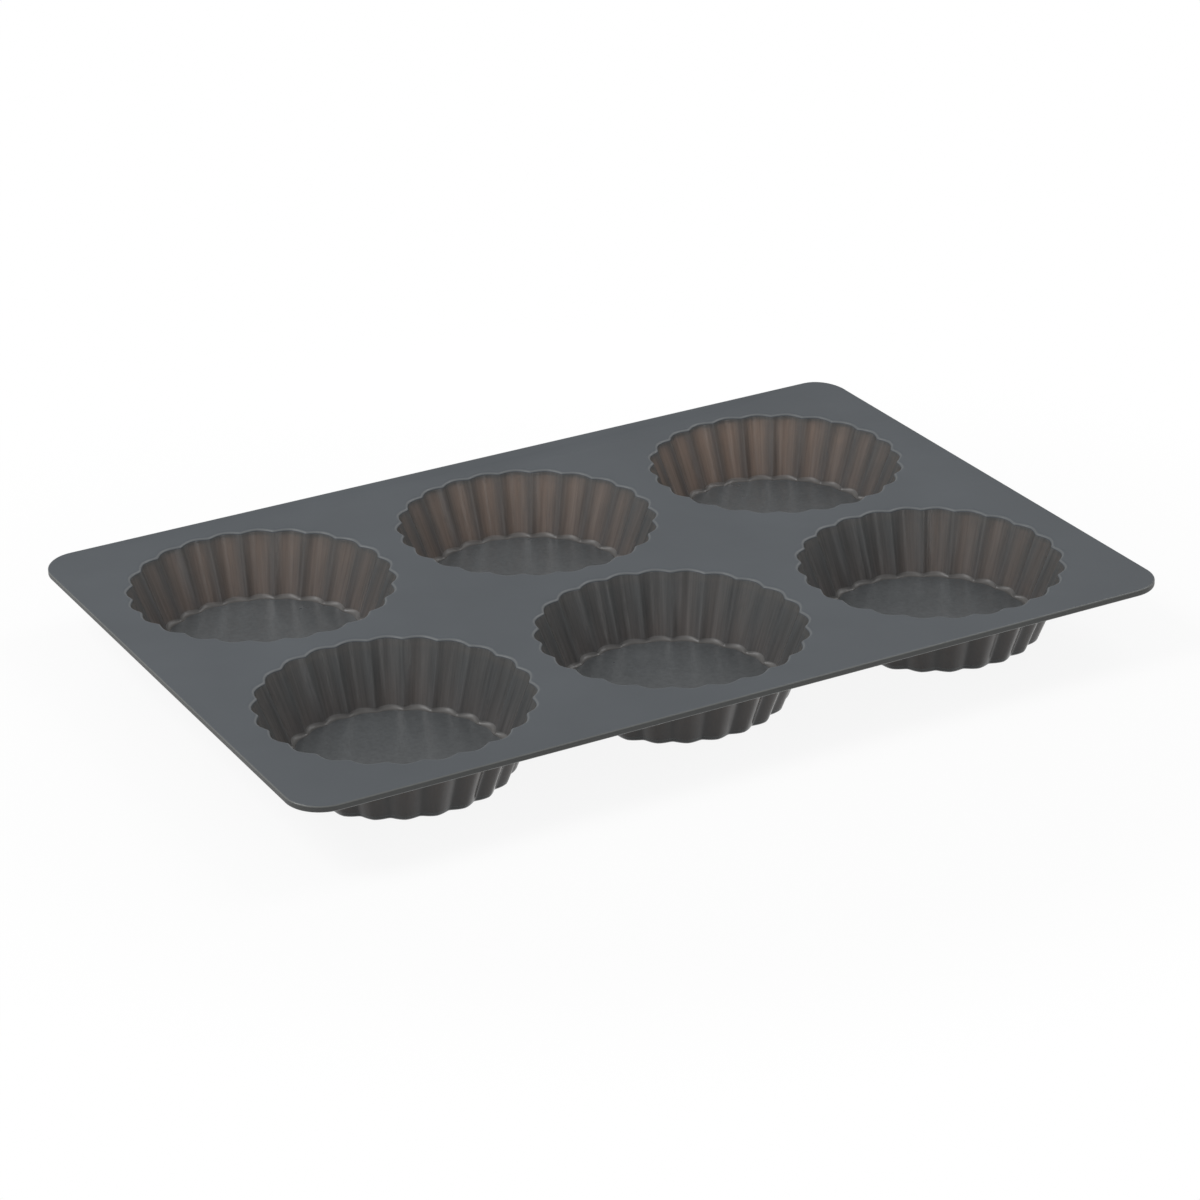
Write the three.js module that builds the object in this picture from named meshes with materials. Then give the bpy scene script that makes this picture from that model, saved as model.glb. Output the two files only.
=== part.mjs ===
// Silicone baking mould: a flexible sheet with fluted tartlet cups moulded into it, two rows of three.
// Millimetres, +Z up. The origin is on the table under the tray's centre, and +X runs along its long side.
import * as THREE from "three";
import { toCreasedNormals } from "three/addons/utils/BufferGeometryUtils.js";

// Cups
const columnNames = ["left", "middle", "right"]; // along the tray, towards +X
const rowNames = ["front", "back"]; // across the tray, towards +Y
const mouthDiameter = 80; // mean diameter of a mouth, in the plane of the deck's top face
const cupDepth = 19.8; // from the deck's top face down to the inside of a floor
const draftAngle = 21; // degrees by which a wall leans out
const wallThickness = 1.5; // square to the wall
const floorThickness = 1.7;
const fluteCount = 24; // scallops round one cup
const fluteRise = 1.6; // from the cusps out to the crest of a scallop
const lipRadius = 1; // rounding of a mouth's edge
const filletRadius = 1.5; // rounding inside, between wall and floor
const footRadius = 1.6; // rounding outside, under the wall

// Deck
const columnWeb = 10; // between neighbouring mouths, along the tray
const rowWeb = 9; // between neighbouring mouths, across the tray
const endBorder = 12; // from a mouth to the short edge beside it
const sideBorder = 9.75; // from a mouth to the long edge beside it
const cornerRadius = 11;
const deckThickness = 2;
const rimRadius = 0.5; // rounding of the deck's outer edge, above and below

// Facets
const stepsPerFlute = 4;
const stepsPerCorner = 6;
const lipSteps = 1;
const filletSteps = 1;
const footSteps = 2;
const rimSteps = 2;
const creaseAngle = THREE.MathUtils.degToRad(30); // edges sharper than this are drawn as creases
const mostOfLeg = 0.9; // the share of a straight run that a rounding may use up

// Sizes that follow from the ones above
const mouthRadius = mouthDiameter / 2;
const columnPitch = mouthDiameter + columnWeb;
const rowPitch = mouthDiameter + rowWeb;
const trayLength = (columnNames.length - 1) * columnPitch + mouthDiameter + 2 * endBorder;
const trayWidth = (rowNames.length - 1) * rowPitch + mouthDiameter + 2 * sideBorder;
const deckTop = floorThickness + cupDepth;
const deckUnderside = deckTop - deckThickness;
const draft = THREE.MathUtils.degToRad(draftAngle);
const levelWall = wallThickness / Math.cos(draft); // the wall's thickness, measured level

// Materials: the same silicone, matte on the deck, darker and warmer in thin walls, satin on the floors
const deckSilicone = new THREE.MeshStandardMaterial({ color: 0x5d6266, roughness: 0.62, metalness: 0 });
const wallSilicone = new THREE.MeshStandardMaterial({ color: 0x4a4644, roughness: 0.48, metalness: 0 });
const floorSilicone = new THREE.MeshStandardMaterial({ color: 0x52565a, roughness: 0.42, metalness: 0 });

// Points of a cup's section, as radius and height: the straight inner and outer lines of its wall.
const point = (radius, height) => new THREE.Vector2(radius, height);
const innerWall = (height) => point(mouthRadius - (deckTop - height) * Math.tan(draft), height);
const outerWall = (height) => innerWall(height).add(point(levelWall, 0));

// Rounds the corner of a section between two straight runs, and gives the arc's points in order.
function roundCorner(before, corner, after, radius, steps) {
  const back = before.clone().sub(corner);
  const ahead = after.clone().sub(corner);
  const halfAngle = back.angleTo(ahead) / 2;
  const leg = Math.min(back.length(), ahead.length());
  const used = Math.min(radius, mostOfLeg * leg * Math.tan(halfAngle));
  back.normalize();
  ahead.normalize();
  const middle = back.clone().add(ahead).normalize();
  const centre = corner.clone().addScaledVector(middle, used / Math.sin(halfAngle));
  const setback = used / Math.tan(halfAngle);
  const first = corner.clone().addScaledVector(back, setback).sub(centre);
  const last = corner.clone().addScaledVector(ahead, setback).sub(centre);
  const sweep = first.angleTo(last);
  return Array.from({ length: steps + 1 }, (_, i) => {
    const turn = (sweep * i) / steps;
    const spoke = first.clone().multiplyScalar(Math.sin(sweep - turn));
    spoke.addScaledVector(last, Math.sin(turn)).divideScalar(Math.sin(sweep));
    return spoke.add(centre);
  });
}

// A scalloped ring about a cup's axis: outward arcs that meet in inward cusps, one cusp on +X.
function flutedLoop(section) {
  const count = fluteCount * stepsPerFlute;
  return Array.from({ length: count }, (_, i) => {
    const acrossFlute = (2 * (i % stepsPerFlute)) / stepsPerFlute - 1; // -1 on a cusp, 0 on the crest
    const reach = section.x + fluteRise * (1 / 3 - acrossFlute ** 2); // section.x is the ring's mean radius
    const angle = (2 * Math.PI * i) / count;
    return new THREE.Vector3(reach * Math.cos(angle), reach * Math.sin(angle), section.y);
  });
}

// The tray's outline, a rectangle with round corners, drawn in by section.x at the height section.y.
function outlineLoop(section) {
  const radius = cornerRadius - section.x;
  const centreX = trayLength / 2 - cornerRadius;
  const centreY = trayWidth / 2 - cornerRadius;
  return [[1, 1], [-1, 1], [-1, -1], [1, -1]].flatMap(([sideX, sideY], corner) =>
    Array.from({ length: stepsPerCorner + 1 }, (_, i) => {
      const angle = (Math.PI / 2) * (corner + i / stepsPerCorner);
      return new THREE.Vector3(
        sideX * centreX + radius * Math.cos(angle),
        sideY * centreY + radius * Math.sin(angle),
        section.y,
      );
    }),
  );
}

// The skin of one closed solid, gathered triangle by triangle.
class Skin {
  corners = [];

  triangle(...points) {
    for (const p of points) this.corners.push(p.x, p.y, p.z);
  }

  // Bands between neighbouring loops: loops that climb face out, and loops that go down face the axis.
  loft(loops) {
    for (let k = 1; k < loops.length; k++) {
      const from = loops[k - 1];
      const to = loops[k];
      from.forEach((a, i) => {
        const next = (i + 1) % from.length;
        this.triangle(a, from[next], to[next]);
        this.triangle(a, to[next], to[i]);
      });
    }
  }

  // A flat level face inside an outline and round its holes, facing up or down.
  face(outline, holes, facesUp) {
    const all = [outline, ...holes].flat();
    for (const [i, j, k] of THREE.ShapeUtils.triangulateShape(outline, holes)) {
      const isUp = THREE.ShapeUtils.area([all[i], all[j], all[k]]) > 0;
      if (isUp === facesUp) this.triangle(all[i], all[j], all[k]);
      else this.triangle(all[i], all[k], all[j]);
    }
  }

  geometry() {
    const made = new THREE.BufferGeometry();
    made.setAttribute("position", new THREE.Float32BufferAttribute(this.corners, 3));
    return toCreasedNormals(made, creaseAngle);
  }
}

// The sheet: a rounded rectangle with a rounded rim, and a fluted mouth with a rounded lip over each cup.
function deckGeometry(cups) {
  const midRim = point(0, (deckTop + deckUnderside) / 2);
  const below = roundCorner(point(cornerRadius, deckUnderside), point(0, deckUnderside), midRim, rimRadius, rimSteps);
  const above = roundCorner(midRim, point(0, deckTop), point(cornerRadius, deckTop), rimRadius, rimSteps);
  const rim = [...below, ...above].map(outlineLoop);
  const halfWeb = Math.min(columnWeb, rowWeb) / 2;
  const mouthEdge = innerWall(deckTop);
  const throat = innerWall(deckUnderside);
  const lip = roundCorner(point(mouthRadius + halfWeb, deckTop), mouthEdge, throat, lipRadius, lipSteps);
  const mouth = [...lip, throat].map(flutedLoop);
  const mouths = cups.map((cup) => mouth.map((loop) => loop.map((p) => p.clone().add(cup.centre))));
  const skin = new Skin();
  skin.loft(rim);
  mouths.forEach((loops) => skin.loft(loops));
  skin.face(rim.at(-1), mouths.map((loops) => loops[0]), true);
  skin.face(rim[0], mouths.map((loops) => loops.at(-1)), false);
  return skin.geometry();
}

// A cup's wall: a tapered, fluted ring from its floor up to the deck's underside, filleted at its inner foot.
function wallGeometry() {
  const throat = innerWall(deckUnderside);
  const fillet = roundCorner(throat, innerWall(floorThickness), point(0, floorThickness), filletRadius, filletSteps);
  const foot = outerWall(floorThickness);
  const section = [foot, outerWall(deckUnderside), throat, ...fillet, foot];
  const skin = new Skin();
  skin.loft(section.map(flutedLoop));
  return skin.geometry();
}

// A cup's floor: a flat fluted disc that carries the wall, rounded at its lower edge.
function floorGeometry() {
  const top = outerWall(floorThickness);
  const foot = roundCorner(top, outerWall(0), point(0, 0), footRadius, footSteps);
  const loops = [...foot.reverse(), top].map(flutedLoop);
  const skin = new Skin();
  skin.loft(loops);
  skin.face(loops[0], [], false);
  skin.face(loops.at(-1), [], true);
  return skin.geometry();
}

function namedMesh(name, geometry, material) {
  const mesh = new THREE.Mesh(geometry, material);
  mesh.name = name;
  return mesh;
}

const cups = rowNames.flatMap((row, j) =>
  columnNames.map((column, i) => ({
    name: `${row}_${column}`,
    centre: new THREE.Vector3(
      (i - (columnNames.length - 1) / 2) * columnPitch,
      (j - (rowNames.length - 1) / 2) * rowPitch,
      0,
    ),
  })),
);

const mould = new THREE.Group();
mould.name = "silicone_baking_mould";
mould.add(namedMesh("deck", deckGeometry(cups), deckSilicone));
const sharedWall = wallGeometry();
const sharedFloor = floorGeometry();
for (const cup of cups) {
  const place = new THREE.Group();
  place.position.copy(cup.centre);
  place.add(namedMesh(`cup_wall_${cup.name}`, sharedWall, wallSilicone));
  place.add(namedMesh(`cup_floor_${cup.name}`, sharedFloor, floorSilicone));
  mould.add(place);
}

export default mould;
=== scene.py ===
import math

import bpy
from mathutils import Matrix, Vector
from mathutils.geometry import delaunay_2d_cdt


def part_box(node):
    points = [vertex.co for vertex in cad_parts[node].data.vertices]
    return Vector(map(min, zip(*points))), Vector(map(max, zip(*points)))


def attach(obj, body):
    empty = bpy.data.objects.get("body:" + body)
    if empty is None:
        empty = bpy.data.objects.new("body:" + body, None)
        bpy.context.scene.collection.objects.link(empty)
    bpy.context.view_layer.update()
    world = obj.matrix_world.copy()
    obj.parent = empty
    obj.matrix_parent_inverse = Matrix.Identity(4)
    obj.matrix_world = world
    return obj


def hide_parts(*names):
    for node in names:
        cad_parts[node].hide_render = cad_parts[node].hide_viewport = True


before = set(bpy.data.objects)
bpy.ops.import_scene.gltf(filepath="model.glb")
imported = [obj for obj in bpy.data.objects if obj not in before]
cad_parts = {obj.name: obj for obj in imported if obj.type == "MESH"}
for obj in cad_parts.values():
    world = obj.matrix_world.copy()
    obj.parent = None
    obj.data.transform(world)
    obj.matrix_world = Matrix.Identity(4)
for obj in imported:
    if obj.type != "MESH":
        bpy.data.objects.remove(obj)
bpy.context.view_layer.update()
scene = bpy.context.scene
mm = 0.001

# Levels and cup places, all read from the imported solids
wallPrefix = "cup_wall_"
floorPrefix = "cup_floor_"
sameDecimals = 5  # cups that agree to this many decimals share a column or a row
deckLow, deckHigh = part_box("deck")
deckTop = deckHigh.z
deckUnder = deckLow.z
wallNodes = [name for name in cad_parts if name.startswith(wallPrefix)]
cupNames = sorted(name.removeprefix(wallPrefix) for name in wallNodes)
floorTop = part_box(floorPrefix + cupNames[0])[1].z
cupCentres = {}
for cupName in cupNames:
    wallLow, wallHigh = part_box(wallPrefix + cupName)
    cupCentres[cupName] = (wallLow + wallHigh).to_2d() / 2
columnPlaces = sorted({round(centre.x, sameDecimals) for centre in cupCentres.values()})
rowPlaces = sorted({round(centre.y, sameDecimals) for centre in cupCentres.values()})
print("frame:", len(rowPlaces), "rows of", len(columnPlaces), "cups")


# Section of a cup, as radius and height
cup = dict(
    mouth=40 * mm,  # mean radius in the plane of the deck's top face
    draft=math.radians(21),
    wall=1.5 * mm,
    flutes=24,
    rise=1.6 * mm,  # from the cusps out to the crest of a flute
    cuspEase=0.12,  # rounding of the cusps inside, as a share of half a flute
    grooveEase=0.20,  # the same for the grooves outside
    filletRise=0.5,  # the share of the rise that is left where the fillet runs out on the floor
    footRise=0.8,  # and under the foot
    halfFluteSteps=8,
    crowd=1.6,  # draws the points of a flute towards its cusps
    lipReach=1.5 * mm,  # of a mouth's soft edge, out over the deck
    lipDrop=0.7 * mm,  # and down the wall
    lipSteps=9,
    fillet=1.8 * mm,  # inside, between wall and floor
    filletSteps=10,
    foot=1.6 * mm,  # outside, under the wall
    footSteps=7,
    root=2.4 * mm,  # outside, where a wall meets the deck
    rootSteps=7,
    skin=0.6 * mm,  # of a wall, where it runs up inside the deck to the lip
    wallRows=4,
    legLength=5 * mm,  # of the flat runs that a rounding leans on
    besideEdge=0.12 * mm,  # a loop this close to a rounding keeps the run next to it flat
)


def innerWall(z):
    return Vector((cup["mouth"] - (deckTop - z) * math.tan(cup["draft"]), z))


def outerWall(z):
    return innerWall(z) + Vector((cup["wall"] / math.cos(cup["draft"]), 0))


def sideStep(point, towards):
    return point + (towards - point).normalized() * cup["besideEdge"]


def roundCorner(before, corner, after, radius, steps):  # an arc
    back = (before - corner).normalized()
    ahead = (after - corner).normalized()
    half = back.angle(ahead) / 2
    centre = corner + (back + ahead).normalized() * radius / math.sin(half)
    first = corner + back * radius / math.tan(half) - centre
    last = corner + ahead * radius / math.tan(half) - centre
    sweep = first.angle(last)
    turns = [sweep * i / steps for i in range(steps + 1)]
    return [centre + (first * math.sin(sweep - t) + last * math.sin(t)) / math.sin(sweep) for t in turns]


def softCorner(before, corner, after, reachBefore, reachAfter, steps):  # a curve with two reaches
    start = corner + (before - corner).normalized() * reachBefore
    end = corner + (after - corner).normalized() * reachAfter
    shares = [i / steps for i in range(steps + 1)]
    return [start.lerp(corner, t).lerp(corner.lerp(end, t), t) for t in shares]


def fading(first, last, count):
    return [first + (last - first) * i / (count - 1) for i in range(count)]


def ringPoint(centre, radius, angle, z):
    return Vector((centre.x + radius * math.cos(angle), centre.y + radius * math.sin(angle), z))


def fluteProfile(fromCusp):  # in shares of the rise, with a mean of 0, for numbers and wires alike
    return 2 * fromCusp - fromCusp ** 2 - 2 / 3


def flutedLoop(section, centre, ease, riseShare):
    radius, z = section
    steps = cup["halfFluteSteps"]
    loop = []
    for flute in range(cup["flutes"]):
        for i in range(2 * steps):
            fromCusp = (min(i, 2 * steps - i) / steps) ** cup["crowd"]  # 0 on a cusp, 1 on the crest
            eased = math.hypot(fromCusp, ease) - ease
            reach = radius + cup["rise"] * riseShare * fluteProfile(eased)
            share = fromCusp / 2 if i <= steps else 1 - fromCusp / 2
            angle = 2 * math.pi * (flute + share) / cup["flutes"]
            loop.append(ringPoint(centre, reach, angle, z))
    return loop


# Shader maths
class Wire:  # one output of a node, so that sums are written as sums
    def __init__(self, graph, node, key=0):
        self.graph = graph
        self.node = node
        self.key = key

    def output(self, key):
        return Wire(self.graph, self.node, key)

    def __add__(self, other):
        return self.graph.maths("ADD", self, other)

    def __radd__(self, other):
        return self.graph.maths("ADD", other, self)

    def __sub__(self, other):
        return self.graph.maths("SUBTRACT", self, other)

    def __rsub__(self, other):
        return self.graph.maths("SUBTRACT", other, self)

    def __mul__(self, other):
        return self.graph.maths("MULTIPLY", self, other)

    def __rmul__(self, other):
        return self.graph.maths("MULTIPLY", other, self)

    def __truediv__(self, other):
        return self.graph.maths("DIVIDE", self, other)

    def __rtruediv__(self, other):
        return self.graph.maths("DIVIDE", other, self)

    def __pow__(self, other):
        return self.graph.maths("POWER", self, other)

    def __rpow__(self, other):
        return self.graph.maths("POWER", other, self)


class Graph:  # the nodes of one material or of the world
    def __init__(self, owner):
        self.owner = owner
        owner.use_nodes = True
        self.tree = owner.node_tree
        self.tree.nodes.clear()

    def add(self, kind, settings=None, sockets=None):  # settings first, as they can change the sockets
        node = self.tree.nodes.new(kind)
        for key, value in (settings or {}).items():
            setattr(node, key, value)
        for key, value in (sockets or {}).items():
            if isinstance(value, Wire):
                self.tree.links.new(value.node.outputs[value.key], node.inputs[key])
            else:
                node.inputs[key].default_value = value
        return Wire(self, node)

    def maths(self, operation, *values):
        return self.add("ShaderNodeMath", {"operation": operation}, dict(enumerate(values)))

    def smooth(self, value, start, end):  # 0 before start, 1 after end
        sockets = {"Value": value, "From Min": start, "From Max": end}
        return self.add("ShaderNodeMapRange", {"interpolation_type": "SMOOTHSTEP"}, sockets)

    def between(self, value, start, end, fade):  # 1 from start to end, with soft ends
        begun = self.smooth(value, start - fade, start + fade)
        ended = self.smooth(value, end - fade, end + fade)
        return begun * (1 - ended)

    def fromNearest(self, value, places):  # the distance from the nearest of some evenly spaced places
        pitch = places[1] - places[0]
        step = self.maths("ROUND", (value - places[0]) / pitch)
        step = self.maths("MAXIMUM", step, 0.0)
        step = self.maths("MINIMUM", step, len(places) - 1.0)
        return value - places[0] - pitch * step

    def noise(self, place, size, detail, fine=0.5):  # from -0.5 to 0.5, with lumps of the given size
        sockets = {"Vector": place, "Scale": 1 / size, "Detail": detail, "Roughness": fine}
        return self.add("ShaderNodeTexNoise", None, sockets) - 0.5

    def blend(self, share, first, second):  # 6, 7 and 2 are the node's sockets for colours
        mixed = self.add("ShaderNodeMix", {"data_type": "RGBA"}, {0: share, 6: first, 7: second})
        return mixed.output(2)

    def scaled(self, color, factor):
        return self.add("ShaderNodeVectorMath", {"operation": "SCALE"}, {0: color, "Scale": factor})

    def seenBy(self, *rays):  # 1 for rays of these kinds
        path = self.add("ShaderNodeLightPath")
        seen = path.output(rays[0])
        for ray in rays[1:]:
            seen = self.maths("MAXIMUM", seen, path.output(ray))
        return seen

    def finish(self, shader):
        isWorld = isinstance(self.owner, bpy.types.World)
        kind = "ShaderNodeOutputWorld" if isWorld else "ShaderNodeOutputMaterial"
        self.add(kind, None, {"Surface": shader})
        return self.owner


# Silicone: one compound, matte on the deck, smoother in the cups
silicone = dict(
    cloudSize=38 * mm,  # wide, faint changes of tone
    cloudDetail=2.0,
    cloudTone=0.28,
    smudgeSize=11 * mm,  # changes of gloss
    smudgeDetail=3.0,
    smudgeGloss=0.08,
    grainSize=0.45 * mm,  # of the moulded surface
    grainDetail=3.0,
    grainDepth=0.008 * mm,
    bumpStrength=1.0,
    bumpDistance=1.0,  # heights are true ones, in metres
    refraction=1.43,
)


class CupPlace:  # where a shaded point lies, seen from the axis of its cup
    def __init__(self, graph):
        self.point = graph.add("ShaderNodeTexCoord").output("Object")
        axes = graph.add("ShaderNodeSeparateXYZ", None, {0: self.point})
        wholeX = axes.output("X")
        wholeY = axes.output("Y")
        self.x = graph.fromNearest(wholeX, columnPlaces)
        self.y = graph.fromNearest(wholeY, rowPlaces)
        self.z = axes.output("Z")
        self.depth = deckTop - self.z
        self.radius = (self.x ** 2 + self.y ** 2) ** 0.5
        self.ownCup = (wholeX - self.x) + (wholeY - self.y)  # another number for each cup
        turns = graph.maths("ARCTAN2", self.y, self.x) * (cup["flutes"] / (2 * math.pi))
        self.fromCusp = 2 * graph.maths("PINGPONG", turns, 0.5)  # 0 on a cusp, 1 on a flute's crest


def siliconeBody(graph, place, color, tone, rough, relief=0.0):
    cloud = graph.noise(place.point, silicone["cloudSize"], silicone["cloudDetail"])
    smudge = graph.noise(place.point, silicone["smudgeSize"], silicone["smudgeDetail"])
    grain = graph.noise(place.point, silicone["grainSize"], silicone["grainDetail"])
    bump = graph.add(
        "ShaderNodeBump",
        None,
        {
            "Strength": silicone["bumpStrength"],
            "Distance": silicone["bumpDistance"],
            "Height": silicone["grainDepth"] * grain + relief,
        },
    )
    return graph.add(
        "ShaderNodeBsdfPrincipled",
        None,
        {
            "Base Color": graph.scaled(color, tone + silicone["cloudTone"] * cloud),
            "Roughness": rough + silicone["smudgeGloss"] * smudge,
            "Normal": bump,
            "IOR": silicone["refraction"],
        },
    )


deckLook = dict(
    color=(0.0766, 0.0860, 0.0953, 1),
    # painted highlight: the colour the lips are painted paler with
    lipColor=(0.0775, 0.0823, 0.0855, 1),
    edgeColor=(0.076, 0.079, 0.077, 1),  # of the rim: painted highlight lines on its edges, painted shade on its side
    roughness=0.48,
    edgeRoughness=0.36,
    lipLift=0.66,  # painted highlight: lips and edges are paler
    edgeLift=0.70,
    sideDrop=0.25,  # painted shade: the rim's side is darker
    lipBand=(0.13 * mm, 0.54 * mm),  # depths under the top face
    lipFade=0.07 * mm,
    edgeBand=(0.04 * mm, 0.35 * mm),  # from either face of the sheet
    edgeFade=0.03 * mm,
    rimZone=(3 * mm, 5 * mm),  # outside a mouth, where the rim takes over from the lip
)


def deckFinish():
    look = deckLook
    graph = Graph(bpy.data.materials.new("deckSilicone"))
    place = CupPlace(graph)
    sheet = deckTop - deckUnder
    near, far = look["edgeBand"]
    byRim = graph.smooth(place.radius - cup["mouth"], *look["rimZone"])
    # where the lips get a painted highlight
    lip = (1 - byRim) * graph.between(place.depth, *look["lipBand"], look["lipFade"])
    # where the rim's rounded edges get painted highlight lines
    topEdge = graph.between(place.depth, near, far, look["edgeFade"])
    lowEdge = graph.between(place.depth, sheet - far, sheet - near, look["edgeFade"])
    edges = byRim * (topEdge + lowEdge)
    # where the rim's side gets painted shade
    sideFace = byRim * graph.between(place.depth, far, sheet - far, look["edgeFade"])
    # painted highlight on the lips and rim edges, painted shade on the rim's side
    color = graph.blend(lip, look["color"], look["lipColor"])
    color = graph.blend(edges + sideFace, color, look["edgeColor"])
    tone = 1 + look["lipLift"] * lip + look["edgeLift"] * edges - look["sideDrop"] * sideFace
    rough = look["roughness"] + edges * (look["edgeRoughness"] - look["roughness"])
    return graph.finish(siliconeBody(graph, place, color, tone, rough))


wallLook = dict(
    color=(0.0975, 0.1035, 0.1060, 1),
    throatColor=(0.1086, 0.1106, 0.1094, 1),  # painted glow: paler and warmer under the lips, for light through the wall
    lowColor=(0.109, 0.109, 0.110, 1),  # painted glow: paler and warmer towards the floor
    footColor=(0.0890, 0.0866, 0.0837, 1),  # where the fillet runs out on the floor
    # painted shade: the cool, darker colour of the outside
    outsideColor=(0.088, 0.101, 0.109, 1),
    roughness=0.23,
    filletRoughness=0.42,
    outsideRoughness=0.14,
    filletLift=0.57,  # painted highlight: the fillet is paler
    filletOnCusps=0.5,  # the share of that painted highlight that the cusps get
    hollowLift=0.06,  # painted light and shade: a flute's hollow is paler than its cusps
    outsideDrop=0.75,  # painted shade: the outside is darker
    glowColor=(0.90, 0.70, 0.56, 1),  # of light that comes through
    glowShare=0.134,
    glowRise=0.23,  # more of it comes through towards the lip
    cuspShade=0.45,  # less through the thicker cusps
    footShade=0.5,  # less by the floor
    outsideShade=0.25,  # and less on the outside
    drawWidth=1.2 * mm,  # of fine lines that run down the wall
    drawStretch=0.04,  # the smaller, the longer the lines
    drawDetail=4.0,
    drawFine=0.65,
    drawTone=1.05,
    drawGloss=0.15,
    drawGlow=0.8,
    drawDepth=0.12 * mm,
    hollowZone=(0.0, 0.65),  # from a cusp towards the crest
    skinZone=(0.5 * mm, 1.1 * mm),  # out from the inner face, where the outside begins
    throatZone=(2.0 * mm, 3.5 * mm),  # depths over which the throat ends
    filletBand=(0.05 * mm, 0.98 * mm),  # heights over the floor, as the zones below are
    filletFade=0.13 * mm,
    footZone=(0.25 * mm, 1.30 * mm),
    lowZone=(2 * mm, 12 * mm),
    glowZone=(3 * mm, 18 * mm),
)


def wallFinish():
    look = wallLook
    graph = Graph(bpy.data.materials.new("wallSilicone"))
    place = CupPlace(graph)
    overFloor = place.z - floorTop
    innerFace = cup["mouth"] - place.depth * math.tan(cup["draft"])
    innerFace = innerFace + cup["rise"] * fluteProfile(place.fromCusp)
    outside = graph.smooth(place.radius - innerFace, *look["skinZone"])
    inside = 1 - outside
    # also sets painted light and shade across a flute
    hollow = graph.smooth(place.fromCusp, *look["hollowZone"])
    foot = inside * (1 - graph.smooth(overFloor, *look["footZone"]))
    # where the fillet gets its painted highlight
    fillet = inside * graph.between(overFloor, *look["filletBand"], look["filletFade"])
    fillet = fillet * (look["filletOnCusps"] + (1 - look["filletOnCusps"]) * hollow)
    # where the throat gets its painted glow
    throatShare = 1 - graph.smooth(place.depth, *look["throatZone"])

    spread = cup["mouth"] / place.radius  # so that the lines run down the taper
    stretched = look["drawStretch"] * place.z + place.ownCup
    lineAxes = {"X": place.x * spread, "Y": place.y * spread, "Z": stretched}
    linePlace = graph.add("ShaderNodeCombineXYZ", None, lineAxes)
    lines = graph.noise(linePlace, look["drawWidth"], look["drawDetail"], look["drawFine"])
    draw = (inside - foot) * lines

    # painted glow towards the floor and under the lips
    color = graph.blend(graph.smooth(overFloor, *look["lowZone"]), look["lowColor"], look["color"])
    color = graph.blend(throatShare, color, look["throatColor"])
    color = graph.blend(foot, color, look["footColor"])
    # painted shade on the outside
    color = graph.blend(outside, color, look["outsideColor"])
    # painted light in the hollows and on the fillet, painted shade on the outside
    tone = 1 + look["drawTone"] * draw + look["hollowLift"] * (hollow - 0.5)
    tone = tone + look["filletLift"] * fillet - look["outsideDrop"] * outside
    rough = look["roughness"] + look["drawGloss"] * draw
    rough = rough + fillet * (look["filletRoughness"] - look["roughness"])
    rough = rough + outside * (look["outsideRoughness"] - look["roughness"])
    body = siliconeBody(graph, place, color, tone, rough, look["drawDepth"] * draw)

    glow = graph.add("ShaderNodeBsdfTranslucent", None, {"Color": look["glowColor"]})
    share = look["glowShare"] * (1 + look["drawGlow"] * draw)
    share = share * (1 + look["glowRise"] * graph.smooth(overFloor, *look["glowZone"]))
    share = share * (1 - look["cuspShade"] * (1 - hollow))
    share = share * (1 - look["footShade"] * foot) * (1 - look["outsideShade"] * outside)
    return graph.finish(graph.add("ShaderNodeMixShader", None, {0: share, 1: body, 2: glow}))


floorLook = dict(
    color=(0.0836, 0.0887, 0.0918, 1),
    roughness=0.29,
    mottleSize=1.2 * mm,  # faint specks
    mottleDetail=3.0,
    mottleTone=0.60,
    outsideDrop=0.75,  # painted shade: the outside is darker, and finished as the walls are
    outsideZone=(0.05 * mm, 0.30 * mm),  # depths under the top face
)


def floorFinish():
    look = floorLook
    graph = Graph(bpy.data.materials.new("floorSilicone"))
    place = CupPlace(graph)
    outside = graph.smooth(floorTop - place.z, *look["outsideZone"])
    mottle = graph.noise(place.point, look["mottleSize"], look["mottleDetail"])
    # painted shade on the underside
    tone = 1 + look["mottleTone"] * mottle - look["outsideDrop"] * outside
    rough = look["roughness"] + outside * (wallLook["outsideRoughness"] - look["roughness"])
    color = graph.blend(outside, look["color"], wallLook["outsideColor"])
    return graph.finish(siliconeBody(graph, place, color, tone, rough))


deckMaterial = deckFinish()
wallMaterial = wallFinish()
floorMaterial = floorFinish()
print("silicone: three finishes")


# Meshes
sharpAngle = math.radians(50)  # edges sharper than this are creases
sameSpot = 1e-7  # points closer than this are one
insideRings = 1  # the triangulation keeps what lies inside its rings


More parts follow.
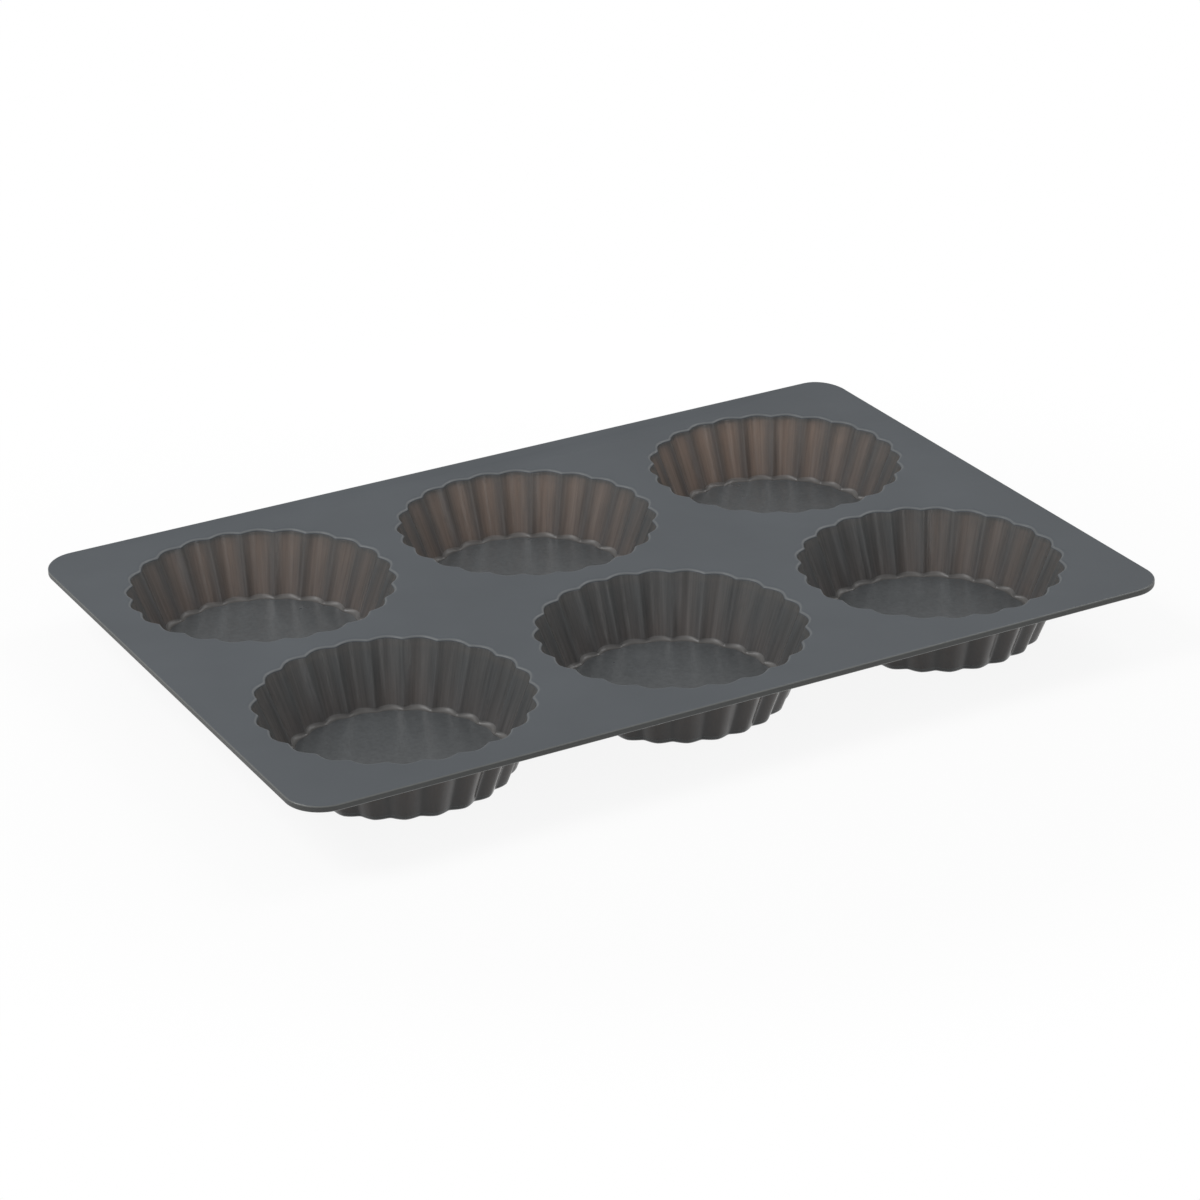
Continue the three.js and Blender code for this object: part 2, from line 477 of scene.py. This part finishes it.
class Skin:  # vertices and faces of one piece
    def __init__(self):
        self.points = []
        self.faces = []

    def loop(self, points):
        start = len(self.points)
        self.points.extend(points)
        return list(range(start, len(self.points)))

    def flutedLoops(self, sections, centre, ease, riseShares=None):
        shares = riseShares or [1.0] * len(sections)
        pairs = zip(sections, shares)
        return [self.loop(flutedLoop(section, centre, ease, share)) for section, share in pairs]

    def loft(self, loops):  # climbing loops face out, falling loops face the axis
        for first, second in zip(loops, loops[1:]):
            for i, corner in enumerate(first):
                j = (i + 1) % len(first)
                self.faces.append((corner, first[j], second[j], second[i]))

    def fan(self, loop, centre, up):  # a level face from a loop in to its middle
        middle = self.loop([Vector((centre.x, centre.y, self.points[loop[0]].z))])[0]
        for i, corner in enumerate(loop):
            after = loop[(i + 1) % len(loop)]
            self.faces.append((corner, after, middle) if up else (after, corner, middle))

    def sheetFace(self, outline, holes, inner, up):  # a level face between an outline and its holes
        z = self.points[outline[0]].z
        ids = outline + [i for hole in holes for i in hole]
        ids += self.loop([Vector((point.x, point.y, z)) for point in inner])
        rings = []
        for ring in [outline] + holes:
            start = sum(len(earlier) for earlier in rings)
            rings.append(list(range(start, start + len(ring))))
        flat = [self.points[i].to_2d() for i in ids]
        made = delaunay_2d_cdt(flat, [], rings, insideRings, sameSpot)
        _, _, triangles, fromPoints, _, fromRings = made
        origins = [ids[source[0]] for source in fromPoints]
        for triangle, owners in zip(triangles, fromRings):
            if max(owners) > 0:  # inside a hole
                continue
            corners = tuple(origins[i] for i in triangle)
            self.faces.append(corners if up else tuple(reversed(corners)))

    def piece(self, name, node, material):
        mesh = bpy.data.meshes.new(name)
        mesh.from_pydata(self.points, [], self.faces)
        mesh.validate()
        mesh.shade_smooth()
        mesh.set_sharp_from_angle(angle=sharpAngle)
        mesh.materials.append(material)
        made = bpy.data.objects.new(name, mesh)
        scene.collection.objects.link(made)
        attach(made, "root")
        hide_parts(node)


# Deck
deck = dict(
    corner=11 * mm,
    cornerSteps=16,
    rim=0.5 * mm,  # rounding of the outer edge, above and below
    rimSteps=6,
    gridStep=6 * mm,
    gridClear=3 * mm,  # free of grid points, along the outline and round the mouths
    curlRight=1.7 * mm,  # by which the soft sheet's back corners would lift if they were square
    curlLeft=0.6 * mm,
    curlLength=82 * mm,  # of the lifted stretch of the back edge
    curlWidth=18 * mm,
    curlClear=9 * mm,  # from a mouth out to the full lift
    curlAlong=1.3,  # powers by which the lift dies away
    curlAcross=2.0,
)


def outlineLoop(section):
    inset, z = section
    loop = []
    for quarter, (sideX, sideY) in enumerate(((1, 1), (-1, 1), (-1, -1), (1, -1))):
        centre = Vector((sideX * (deckHigh.x - deck["corner"]), sideY * (deckHigh.y - deck["corner"])))
        for i in range(deck["cornerSteps"] + 1):
            angle = math.pi / 2 * (quarter + i / deck["cornerSteps"])
            loop.append(ringPoint(centre, deck["corner"] - inset, angle, z))
    return loop


def pastMouth(point):  # from a circle that clears the flutes of the nearest mouth
    toCup = min((point.to_2d() - centre).length for centre in cupCentres.values())
    return toCup - cup["mouth"] - cup["rise"]


def gridPoints():
    step = deck["gridStep"]
    columns = int(deckHigh.x / step)
    rows = int(deckHigh.y / step)
    kept = []
    for i in range(-columns, columns + 1):
        for j in range(-rows, rows + 1):
            point = Vector((i * step, j * step))
            pastX = max(abs(point.x) - deckHigh.x + deck["corner"], 0)
            pastY = max(abs(point.y) - deckHigh.y + deck["corner"], 0)
            isOnSheet = math.hypot(pastX, pastY) < deck["corner"] - deck["gridClear"]
            if isOnSheet and pastMouth(point) > deck["gridClear"]:
                kept.append(point)
    return kept


def curlLift(point):
    height = deck["curlRight"] if point.x > 0 else deck["curlLeft"]
    along = max(1 - (deckHigh.x - abs(point.x)) / deck["curlLength"], 0)
    across = max(1 - (deckHigh.y - point.y) / deck["curlWidth"], 0)
    clear = min(max(pastMouth(point) / deck["curlClear"], 0), 1)
    return height * along ** deck["curlAlong"] * across ** deck["curlAcross"] * clear


deckSkin = Skin()
midRim = Vector((0, (deckTop + deckUnder) / 2))
underInside = Vector((deck["corner"], deckUnder))
topInside = Vector((deck["corner"], deckTop))
lowerRim = roundCorner(underInside, Vector((0, deckUnder)), midRim, deck["rim"], deck["rimSteps"])
upperRim = roundCorner(midRim, Vector((0, deckTop)), topInside, deck["rim"], deck["rimSteps"])
rimSections = [sideStep(lowerRim[0], underInside), *lowerRim, sideStep(lowerRim[-1], midRim)]
rimSections += [sideStep(upperRim[0], midRim), *upperRim, sideStep(upperRim[-1], topInside)]
rimLoops = [deckSkin.loop(outlineLoop(section)) for section in rimSections]
deckSkin.loft(rimLoops)

throat = innerWall(deckUnder)
mouthEdge = innerWall(deckTop)
beforeLip = mouthEdge + Vector((cup["legLength"], 0))
lip = softCorner(beforeLip, mouthEdge, throat, cup["lipReach"], cup["lipDrop"], cup["lipSteps"])
lipEnd = sideStep(lip[-1], throat)
skinStep = Vector((cup["skin"], 0))
lipSections = [sideStep(lip[0], beforeLip), *lip, lipEnd, lipEnd + skinStep, throat + skinStep]
topHoles = []
underHoles = []
for centre in cupCentres.values():
    loops = deckSkin.flutedLoops(lipSections, centre, cup["cuspEase"])
    deckSkin.loft(loops)
    topHoles.append(loops[0])
    underHoles.append(loops[-1])

grid = gridPoints()
deckSkin.sheetFace(rimLoops[-1], topHoles, grid, True)
deckSkin.sheetFace(rimLoops[0], underHoles, grid, False)
for point in deckSkin.points:
    point.z += curlLift(point)
deckSkin.piece("moulded_deck", "deck", deckMaterial)
print("deck:", len(deckSkin.faces), "faces")


# Cup walls
wallFoot = outerWall(floorTop)
wallHead = outerWall(deckUnder)
rootLeg = wallHead + Vector((cup["legLength"], 0))
root = roundCorner(wallFoot, wallHead, rootLeg, cup["root"], cup["rootSteps"])
outerSections = [wallFoot, sideStep(root[0], wallFoot), *root]
innerFoot = innerWall(floorTop)
fillet = roundCorner(throat, innerFoot, Vector((0, floorTop)), cup["fillet"], cup["filletSteps"])
wallRows = [lipEnd.lerp(fillet[0], i / cup["wallRows"]) for i in range(cup["wallRows"])]
innerSections = [throat + skinStep, lipEnd + skinStep, *wallRows, sideStep(fillet[0], throat), *fillet]
fullRise = [1.0] * (len(innerSections) - len(fillet))
innerShares = fullRise + fading(1.0, cup["filletRise"], len(fillet))
for cupName, centre in cupCentres.items():
    skin = Skin()
    outerLoops = skin.flutedLoops(outerSections, centre, cup["grooveEase"])
    innerLoops = skin.flutedLoops(innerSections, centre, cup["cuspEase"], innerShares)
    skin.loft(outerLoops + innerLoops + outerLoops[:1])
    skin.piece("fluted_wall_" + cupName, wallPrefix + cupName, wallMaterial)
print("walls:", len(cupNames))


# Cup floors
floorMiddle = Vector((0, 0))
foot = roundCorner(floorMiddle, outerWall(0), wallFoot, cup["foot"], cup["footSteps"])
floorSections = [sideStep(foot[0], floorMiddle), *foot, sideStep(foot[-1], wallFoot), wallFoot]
floorShares = fading(cup["footRise"], 1.0, len(floorSections))
for cupName, centre in cupCentres.items():
    skin = Skin()
    loops = skin.flutedLoops(floorSections, centre, cup["grooveEase"], floorShares)
    skin.loft(loops)
    skin.fan(loops[0], centre, False)
    skin.fan(loops[-1], centre, True)
    skin.piece("fluted_floor_" + cupName, floorPrefix + cupName, floorMaterial)
print("floors:", len(cupNames))


# Studio
studio = dict(
    white=(1, 1, 1, 1),
    floorSize=6.0,
    floorDrop=0.2 * mm,
    floorColor=(0.80, 0.80, 0.80, 1),
    floorWhite=0.90,  # the share of plain white where the floor is seen, the rest keeps the shadow
    shadowReach=(0.18, 0.27),  # over which that share grows to pure white
    worldStrength=0.44,
    lamps=[
        dict(name="leftSoftbox", place=(-0.80, 0.25, 0.97), size=(0.50, 0.55), power=8.4),
        dict(name="rightSoftbox", place=(0.85, 0.10, 0.95), size=(0.50, 0.55), power=4.0),
        dict(name="frontLeftStrip", place=(-1.17, -0.57, 0.50), size=(0.12, 0.80), power=0.4),
        dict(name="frontRightStrip", place=(0.14, -1.29, 0.50), size=(0.12, 0.80), power=1.1),
        dict(
            name="backStrip",  # shines through the cup walls from behind
            place=(0.22, 0.42, 0.01),
            aim=(0, 0, 0.01),
            size=(0.34, 0.018),
            power=7.8,
            mirrored=False,  # so that the back rim doesn't sparkle
        ),
    ],
)
side = studio["floorSize"] / 2
floorCorners = [(-side, -side, 0), (side, -side, 0), (side, side, 0), (-side, side, 0)]
floorMesh = bpy.data.meshes.new("studioFloor")
floorMesh.from_pydata(floorCorners, [], [(0, 1, 2, 3)])
floorObject = bpy.data.objects.new("studioFloor", floorMesh)
floorObject.location.z = -studio["floorDrop"]
scene.collection.objects.link(floorObject)
floorGraph = Graph(bpy.data.materials.new("paleFloor"))
floorBody = floorGraph.add("ShaderNodeBsdfDiffuse", None, {"Color": studio["floorColor"]})
floorLit = floorGraph.add("ShaderNodeEmission", None, {"Color": studio["white"], "Strength": 1.0})
floorPlace = floorGraph.add("ShaderNodeTexCoord").output("Object")
farOut = floorGraph.add("ShaderNodeVectorMath", {"operation": "LENGTH"}, {0: floorPlace}).output("Value")
shadowEnd = floorGraph.smooth(farOut, *studio["shadowReach"])
floorSeen = floorGraph.seenBy("Is Camera Ray", "Is Glossy Ray", "Is Transmission Ray")
floorShare = floorSeen * (studio["floorWhite"] + (1 - studio["floorWhite"]) * shadowEnd)
floorMix = floorGraph.add("ShaderNodeMixShader", None, {0: floorShare, 1: floorBody, 2: floorLit})
floorMesh.materials.append(floorGraph.finish(floorMix))

# White where the camera sees the room, and a plain level of light on the mould
roomGraph = Graph(bpy.data.worlds.new("whiteRoom"))
roomSeen = roomGraph.seenBy("Is Camera Ray", "Is Transmission Ray")
roomStrength = studio["worldStrength"] + (1 - studio["worldStrength"]) * roomSeen
roomSockets = {"Color": studio["white"], "Strength": roomStrength}
scene.world = roomGraph.finish(roomGraph.add("ShaderNodeBackground", None, roomSockets))

for lampLook in studio["lamps"]:
    light = bpy.data.lights.new(lampLook["name"], "AREA")
    light.shape = "RECTANGLE"
    light.size, light.size_y = lampLook["size"]
    light.energy = lampLook["power"]
    lamp = bpy.data.objects.new(lampLook["name"], light)
    lamp.location = lampLook["place"]
    beam = Vector(lampLook.get("aim", (0, 0, 0))) - Vector(lampLook["place"])
    lamp.rotation_euler = beam.to_track_quat("-Z", "Y").to_euler()
    lamp.visible_camera = False
    lamp.visible_glossy = lampLook.get("mirrored", True)
    scene.collection.objects.link(lamp)
print("studio:", len(studio["lamps"]), "lamps")


# Camera
view = dict(
    place=(-508.4 * mm, -924.0 * mm, 482.6 * mm + deckTop),
    aim=(-9.1 * mm, -18.0 * mm, deckTop),
    roll=math.radians(0.903),
    lens=115.98,
    sensor=36,
    nearClip=50 * mm,
)
camera = bpy.data.cameras.new("photoCamera")
camera.lens = view["lens"]
camera.sensor_width = view["sensor"]
camera.sensor_fit = "HORIZONTAL"
camera.clip_start = view["nearClip"]
cameraObject = bpy.data.objects.new("photoCamera", camera)
forward = (Vector(view["aim"]) - Vector(view["place"])).normalized()
right = forward.cross(Vector((0, 0, 1))).normalized()
roll = Matrix.Rotation(view["roll"], 3, forward)
turned = Matrix((roll @ right, roll @ right.cross(forward), -forward)).transposed()
cameraObject.matrix_world = Matrix.Translation(view["place"]) @ turned.to_4x4()
scene.collection.objects.link(cameraObject)
bpy.context.scene.camera = cameraObject
scene.view_settings.view_transform = "Standard"
print("camera: lens", view["lens"])
